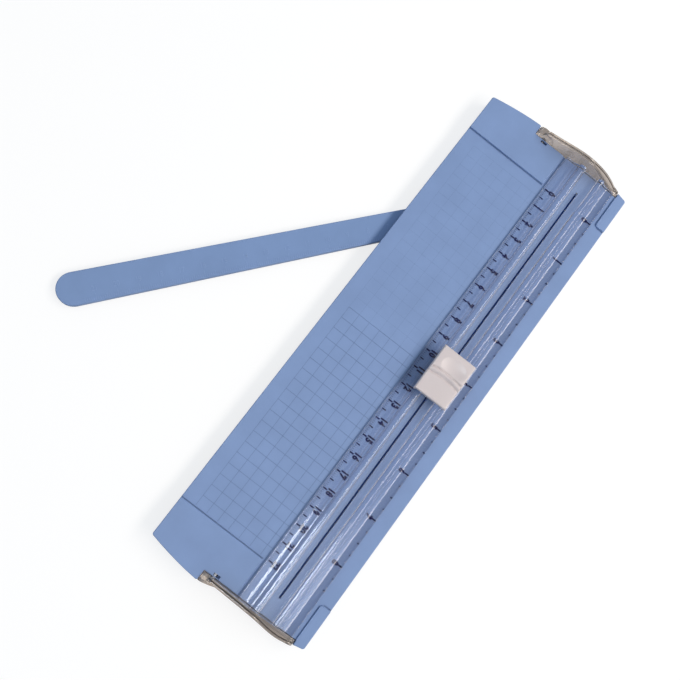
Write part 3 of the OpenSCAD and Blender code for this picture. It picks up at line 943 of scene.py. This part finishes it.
def arm_plate():
    """The plate of the rear arm: inner face, outline with its seam, rim and recess."""
    plate = bmesh.new()
    layers = [arm_layer(inset, outer_face, behind) for inset, behind in seam_layers + rim_layers]
    carry(plate, [arm_layer(0.0, inner_face), *layers, arm_layer(recess_inset, recess_floor)])
    around = len(arm_outline(0))
    # The seam's faces take the near-black painted shade.
    for face in list(plate.faces)[around:3 * around]:
        face.material_index = arm_finishes.index(arm_seam_shade)
    return plate


print("an arm is", round(arm_thin + arm_swell, 2), "mm thick at its swell")

# %% Build the two arms
boss_radius = 5.1
boss_slant = 0.28
boss_steps = 48
boss_layers = [(0.0, 0.05, 0), (0.0, 4.55, boss_slant), (0.12, 4.8, boss_slant), (0.4, 4.9, boss_slant)]


def boss_ring(inset, depth, slant):
    """A ring round the hinge at a depth beyond the rail's end, less deep to the right by a slant."""
    radius = boss_radius - inset
    ring = []
    for i in range(boss_steps):
        turn = 2 * math.pi * i / boss_steps
        across = radius * math.cos(turn)
        beyond = arm_start + depth - slant * (across + boss_radius)
        ring.append((hinge.x + across, beyond, hinge.z + radius * math.sin(turn)))
    return ring


def arm_boss():
    """The round boss of the rear arm, cut off at a slant that runs on from the base's end."""
    boss = bmesh.new()
    carry(boss, [boss_ring(*layer) for layer in boss_layers])
    return boss


def add_arm(name, node, side):
    """An arm at the rear end for side 1, or mirrored to the front end for side -1."""
    mirror = Matrix.Diagonal((1, side, 1, 1))
    plate = arm_plate()
    plate.transform(mirror)
    boss = arm_boss()
    boss.transform(mirror)
    piece = hand_over(plate, name, "rail", arm_finishes, [node])
    combine(piece, "UNION", boss)
    shade(piece.data)
    flats_kept_flat(piece)


add_arm("rear_arm", "rear_end_arm", 1)
add_arm("front_arm", "front_end_arm", -1)

# %% [markdown]
# ## Cap of the cutter
# The white cap is pressed with a finger. Its rear pad has a shallow round dish for the fingertip, its
# front pad is scooped a little, and a low bowed rib crosses between them, with a groove on each side
# of it. One sheet of points whose height is worked out from the place on the cap gives all of that.
# Its edge is turned down into a skirt, and a solidify modifier gives the sheet the wall of a
# moulding. At the two ends the skirt stops short, to pass over the rail's walls.

# %% Height of the cap at a place on it
cap_half_width = (cap_high.x - cap_low.x) / 2 - 0.4
cap_half_length = (cap_high.y - cap_low.y) / 2
cap_corner = 0.9
cap_crown = 0.12
pad_z = 20.8
rear_rise = 0.5
rear_rise_run = 1.6
scoop_depth = 0.3
rib_height = 0.5
rib_width = 0.8
rib_place = 0.3
rib_bow = 1.1
cap_grooves = [(0.85, 1.3, 0.4), (0.7, -1.4, 0.45)]
dish_middle = (0.9, 5.1)
dish_reach = (6.7, 4.6)
dish_depth = 0.8


def rib_line(across):
    """Where the rib crosses the cap, at a share of the half width."""
    return rib_place - rib_bow * across * across


def dish(x, y):
    """Depth of the finger's dish at a place, with a crisp brim."""
    share = math.hypot((x - dish_middle[0]) / dish_reach[0], (y - dish_middle[1]) / dish_reach[1])
    return dish_depth * max(0.0, 1 - share * share)


def bell(distance, width):
    return math.exp(-(distance / width) ** 2)


def cap_height(x, y):
    """Height of the cap above the desk at a place measured from its middle."""
    across = x / cap_half_width
    line = rib_line(across)
    behind = y - line
    room = cap_half_length - line if behind > 0 else cap_half_length + line
    share = min(1.0, abs(behind) / room)
    rear = rear_rise * min(1.0, max(0.0, behind) / rear_rise_run) - dish(x, y)
    pad = rear if behind > 0 else -scoop_depth * math.sin(math.pi * share)
    rib = rib_height * bell(behind, rib_width)
    grooves = sum(depth * bell(behind - place, width) for depth, place, width in cap_grooves)
    return pad_z + pad + rib - grooves - cap_crown * across * across


rear_pad_y, front_pad_y = 7, -6
pad_heights = [round(cap_height(0, y), 2) for y in (rear_pad_y, front_pad_y)]
print("cap is", pad_heights[0], "mm high at the rear pad and", pad_heights[1], "at the front")

# %% Draw the top of the cap
cap_columns = 64
cap_lines = 88


def eased(share):
    """Bunches points towards both ends of an edge, where the cap turns down."""
    return 0.5 - 0.5 * math.cos(math.pi * share)


def cap_point(i, j):
    """A point of the cap's top, with its rim rounded over."""
    x = (2 * eased(i / cap_columns) - 1) * cap_half_width
    y = (2 * eased(j / cap_lines) - 1) * cap_half_length
    near_x = max(0.0, abs(x) - (cap_half_width - cap_corner)) / cap_corner
    near_y = max(0.0, abs(y) - (cap_half_length - cap_corner)) / cap_corner
    near = min(1.0, math.hypot(near_x, near_y))
    drop = cap_corner * (1 - math.sqrt(1 - near * near))
    return Vector((rail_x + x, cutter_y + y, cap_height(x, y) - drop))


cap = bmesh.new()
cap_top = {(i, j): cap.verts.new(cap_point(i, j))
           for i in range(cap_columns + 1) for j in range(cap_lines + 1)}
for i in range(cap_columns):
    for j in range(cap_lines):
        cap.faces.new((cap_top[i, j], cap_top[i + 1, j], cap_top[i + 1, j + 1], cap_top[i, j + 1]))
cap_rim = [(i, 0) for i in range(cap_columns)]
cap_rim += [(cap_columns, j) for j in range(cap_lines)]
cap_rim += [(cap_columns - i, cap_lines) for i in range(cap_columns)]
cap_rim += [(0, cap_lines - j) for j in range(cap_lines)]
print("cap's top has", len(cap_top), "points,", len(cap_rim), "of them on its rim")

# %% Turn the cap's edge down into a skirt
skirt_z = cap_low.z + 1.0
end_skirt_z = 17.6
end_gap_half = 7.9
side_lean = 0.5
end_lean = 0.3
skirt_shares = (0.25, 0.6, 1.0)
wall_thickness = 0.6


def skirt_edge(place):
    """How far down the skirt goes below a point of the rim."""
    at_end = place[1] in (0, cap_lines) and abs(cap_top[place].co.x - rail_x) < end_gap_half
    return end_skirt_z if at_end else skirt_z


def skirt_point(place, share):
    """A point at a share of the way down the skirt, which leans in a little."""
    top = cap_top[place].co
    x = top.x - (top.x - rail_x) / cap_half_width * side_lean * share
    y = top.y - (top.y - cutter_y) / cap_half_length * end_lean * share
    return Vector((x, y, top.z + (skirt_edge(place) - top.z) * share))


rows_down = [[cap_top[place] for place in cap_rim]]
rows_down += [[cap.verts.new(skirt_point(place, share)) for place in cap_rim] for share in skirt_shares]
for above, below in zip(rows_down, rows_down[1:]):
    for k in range(len(cap_rim)):
        n = (k + 1) % len(cap_rim)
        cap.faces.new((above[k], above[n], below[n], below[k]))
cap_piece = hand_over(cap, "cap", "cutter", [cap_white], ["slider_cap"], sharp=60)
wall = cap_piece.modifiers.new("wall", "SOLIDIFY")
wall.thickness = wall_thickness / METRE
wall.offset = -1
wall.use_even_offset = True
print("cap wall", wall_thickness, "mm")

# %% [markdown]
# ## Ruler
# The ruler is a long flat moulding with round ends, a little wider towards its tip. The solid has
# that shape and the seat of its pivot, so its surface is copied and its long edges are rounded. Its
# scale is moulded in the same blue and stands a hair above the face: it counts from the cutting line
# when the ruler is swung square to the base.

# %% Round the ruler
ruler = drawn_from("ruler_arm")
pivot_clear = 5.2


def ruler_rim(edge):
    """Whether an edge is level and away from the pivot's seat."""
    level = same(edge.verts[0].co.z, edge.verts[1].co.z)
    return level and (middle_of(edge) - pivot).xy.length > pivot_clear


round_over(ruler, ruler_rim, 0.45)
ruler_piece = hand_over(ruler, "ruler", "ruler", [ruler_blue], ["ruler_arm"])
flats_kept_flat(ruler_piece)
ruler_low, ruler_high = solid_box("ruler_arm")
print("ruler top at", round(ruler_high.z, 2))

# %% Numbers and lines for the scales
digit_share = 0.70


def number_shape(text, height, narrow, bold, depth):
    """A number as a mesh lying flat, centred on its baseline, in millimetres."""
    digits = bpy.data.curves.new("number", "FONT")
    digits.body = text
    digits.size = height / digit_share
    digits.align_x = "CENTER"
    digits.offset = bold
    digits.extrude = depth / 2
    digits.resolution_u = 4
    word = put_in_scene("number", digits)
    seen = bpy.context.evaluated_depsgraph_get()
    mesh = bpy.data.meshes.new_from_object(word.evaluated_get(seen))
    mesh.transform(Matrix.Diagonal((narrow, 1, 1, 1)))
    bpy.data.objects.remove(word)
    return mesh


def add_number(drawn, text, place, turn, height, narrow, bold, depth):
    """Adds a number to a drawn mesh at a place, turned about the upright."""
    mesh = number_shape(text, height, narrow, bold, depth)
    mesh.transform(Matrix.Translation(place) @ Matrix.Rotation(turn, 4, "Z"))
    drawn.from_mesh(mesh)
    bpy.data.meshes.remove(mesh)


def add_line(drawn, start, end, width, low, high):
    """A flat bar from one point to another in plan, between two heights."""
    run = Vector(end) - Vector(start)
    middle = (Vector(start) + Vector(end)) / 2
    turn = Matrix.Rotation(math.atan2(run.y, run.x), 4, "Z")
    place = Matrix.Translation((middle.x, middle.y, (low + high) / 2))
    size = Matrix.Diagonal((run.length, width, high - low, 1))
    bmesh.ops.create_cube(drawn, size=1, matrix=place @ turn @ size)


# %% Scale on the ruler
ruler_along = Vector((-math.sin(ruler_angle), -math.cos(ruler_angle)))
ruler_across = Vector((math.cos(ruler_angle), -math.sin(ruler_angle)))
ruler_zero = pivot.x - rail_x
ruler_root_half = 6.5
ruler_tip_half = 7.9
ruler_tip = 167.5
relief = 0.1
mark_sink = 0.05
mark_margin = 0.7
mark_width = 0.3
digit_margin = 5.0
first_line, last_line = 62, 216
first_digit, last_digit = 7, 22


def on_ruler(along, across):
    return pivot.xy + ruler_along * along + ruler_across * across


def ruler_half(along):
    return ruler_root_half + (ruler_tip_half - ruler_root_half) * along / ruler_tip


ruler_scale = bmesh.new()
for distance in range(first_line, last_line):
    along = distance + ruler_zero
    edge = ruler_half(along) - mark_margin
    length = 3.0 if distance % 10 == 0 else 2.2 if distance % 5 == 0 else 1.4
    add_line(ruler_scale, on_ruler(along, edge), on_ruler(along, edge - length), mark_width,
             ruler_high.z - mark_sink, ruler_high.z + relief)
upright_turn = math.atan2(-ruler_along.y, -ruler_along.x)
for centimetre in range(first_digit, last_digit):
    along = 10 * centimetre + ruler_zero
    place = (*on_ruler(along, ruler_half(along) - digit_margin), ruler_high.z)
    add_number(ruler_scale, str(centimetre), place, upright_turn, height=2.6, narrow=0.8, bold=0.02,
               depth=2 * relief)
hand_over(ruler_scale, "ruler_scale", "ruler", [mark_blue])

# %% [markdown]
# ## Scales of the rail
# Centimetres run along the left edge of the rail and inches along the right. They are printed in
# blue-black on the underside of the clear strips, so that they lie on the paper and are read without
# parallax. Print has next to no thickness, so each line is a film just under the rail.

# %% Finish of the print
ink_lump = 0.5
ink_detail = 3
ink_lightest = 2.2
ink_rough = (0.45, 0.6)
ink_gloss = 0.1


def print_ink(name, colour):
    """Dark print with slightly uneven cover."""
    finish, tree, skin = new_finish(name)
    cover = cloud(tree, ink_lump, ink_detail)
    light = [part * ink_lightest for part in colour]
    colour_skin(tree, skin, cover, colour, light, cover, ink_rough)
    skin.inputs["Specular IOR Level"].default_value = ink_gloss
    return finish


scale_black = print_ink("scale_black", (0.001, 0.003, 0.045))
print("ink:", scale_black.name)

# %% Print the two scales
scale_zero = 110.0
inch = 25.4
print_top = rail_low.z - 0.01
print_low = print_top - 0.03
reading_turn = math.radians(-90)
left_edge = rail_x - 13.65
right_edge = rail_x + 14.5
centimetre_x = rail_x - 11.1
inch_x = rail_x + 8.8


def printed_line(drawn, edge, inwards, y, width):
    """A printed line that runs from an edge to a distance inwards."""
    x0, x1 = sorted((edge, edge + inwards))
    add_line(drawn, (x0, y), (x1, y), width, print_low, print_top)


def printed_number(drawn, number, x, y, height):
    place = (x, y, (print_low + print_top) / 2)
    add_number(drawn, str(number), place, reading_turn, height, narrow=0.74, bold=0.26,
               depth=print_top - print_low)


centimetres = bmesh.new()
for millimetre in range(0, 221):
    y = scale_zero - millimetre
    if millimetre % 10 == 0:
        printed_line(centimetres, left_edge, 2.1, y, width=0.72)
        printed_number(centimetres, millimetre // 10, centimetre_x, y, height=3.4)
    elif millimetre % 5 == 0:
        printed_line(centimetres, left_edge, 2.0, y, width=0.55)
    else:
        printed_line(centimetres, left_edge, 0.9, y, width=0.12)
hand_over(centimetres, "centimetre_scale", "rail", [scale_black])

inches = bmesh.new()
for quarter in range(0, 35):
    y = scale_zero - quarter * inch / 4
    if quarter % 4 == 0:
        printed_line(inches, right_edge, -2.0, y, width=0.72)
        printed_number(inches, quarter // 4, inch_x, y, height=3.5)
    else:
        printed_line(inches, right_edge, -0.9 if quarter % 2 == 0 else -0.6, y, width=0.6)
hand_over(inches, "inch_scale", "rail", [scale_black])

# %% [markdown]
# ## Feet
# Four soft rubber feet sit in recesses under the base. The solids are plain discs, so their surfaces
# are copied and their edges are rounded, as on a moulded foot.

# %% Round the feet
def every_edge(edge):
    return True


for node in ("foot_front_left", "foot_front_right", "foot_rear_left", "foot_rear_right"):
    foot = drawn_from(node)
    round_over(foot, every_edge, 0.25)
    foot_piece = hand_over(foot, node + "_pad", "base", [foot_rubber], [node])
    flats_kept_flat(foot_piece)

# %% [markdown]
# ## Springs under the cap
# Two small coil springs push the cap up. Their solids have every turn, so their surfaces are copied.
# A real spring gets shorter as the cap is pressed. Here each copy gets a mesh of its own and keeps
# its full length.

# %% Copy the springs and give each its own mesh
for node in ("cap_spring_front", "cap_spring_rear"):
    spring_low, spring_high = solid_box(node)
    spring = hand_over(drawn_from(node), node + "_coil", "carriage", [pin_steel], [node])
    seat = (spring_low + spring_high) / 2
    seat.z = spring_low.z
    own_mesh(spring)

# %% [markdown]
# ## Working parts
# The cutting strip, the runner, the blade with its holder and pins, and the ruler's screw and washer
# have the right shape in the solid model already. They stay as they are and get a finish.

# %% Finish the working parts
working_finishes = {
    "cutting_strip": strip_navy,
    "carriage": runner_grey,
    "blade_holder": runner_grey,
    "front_hinge_pin": hinge_steel_shaded,
    "rear_hinge_pin": hinge_steel_shaded,
    "blade_pin": pin_steel,
    "ruler_pivot_screw": pin_steel,
    "ruler_washer": pin_steel,
    "blade": blade_steel,
}
for node, finish in working_finishes.items():
    solids[node].data.materials.clear()
    solids[node].data.materials.append(finish)
print("finished", len(working_finishes), "working parts")
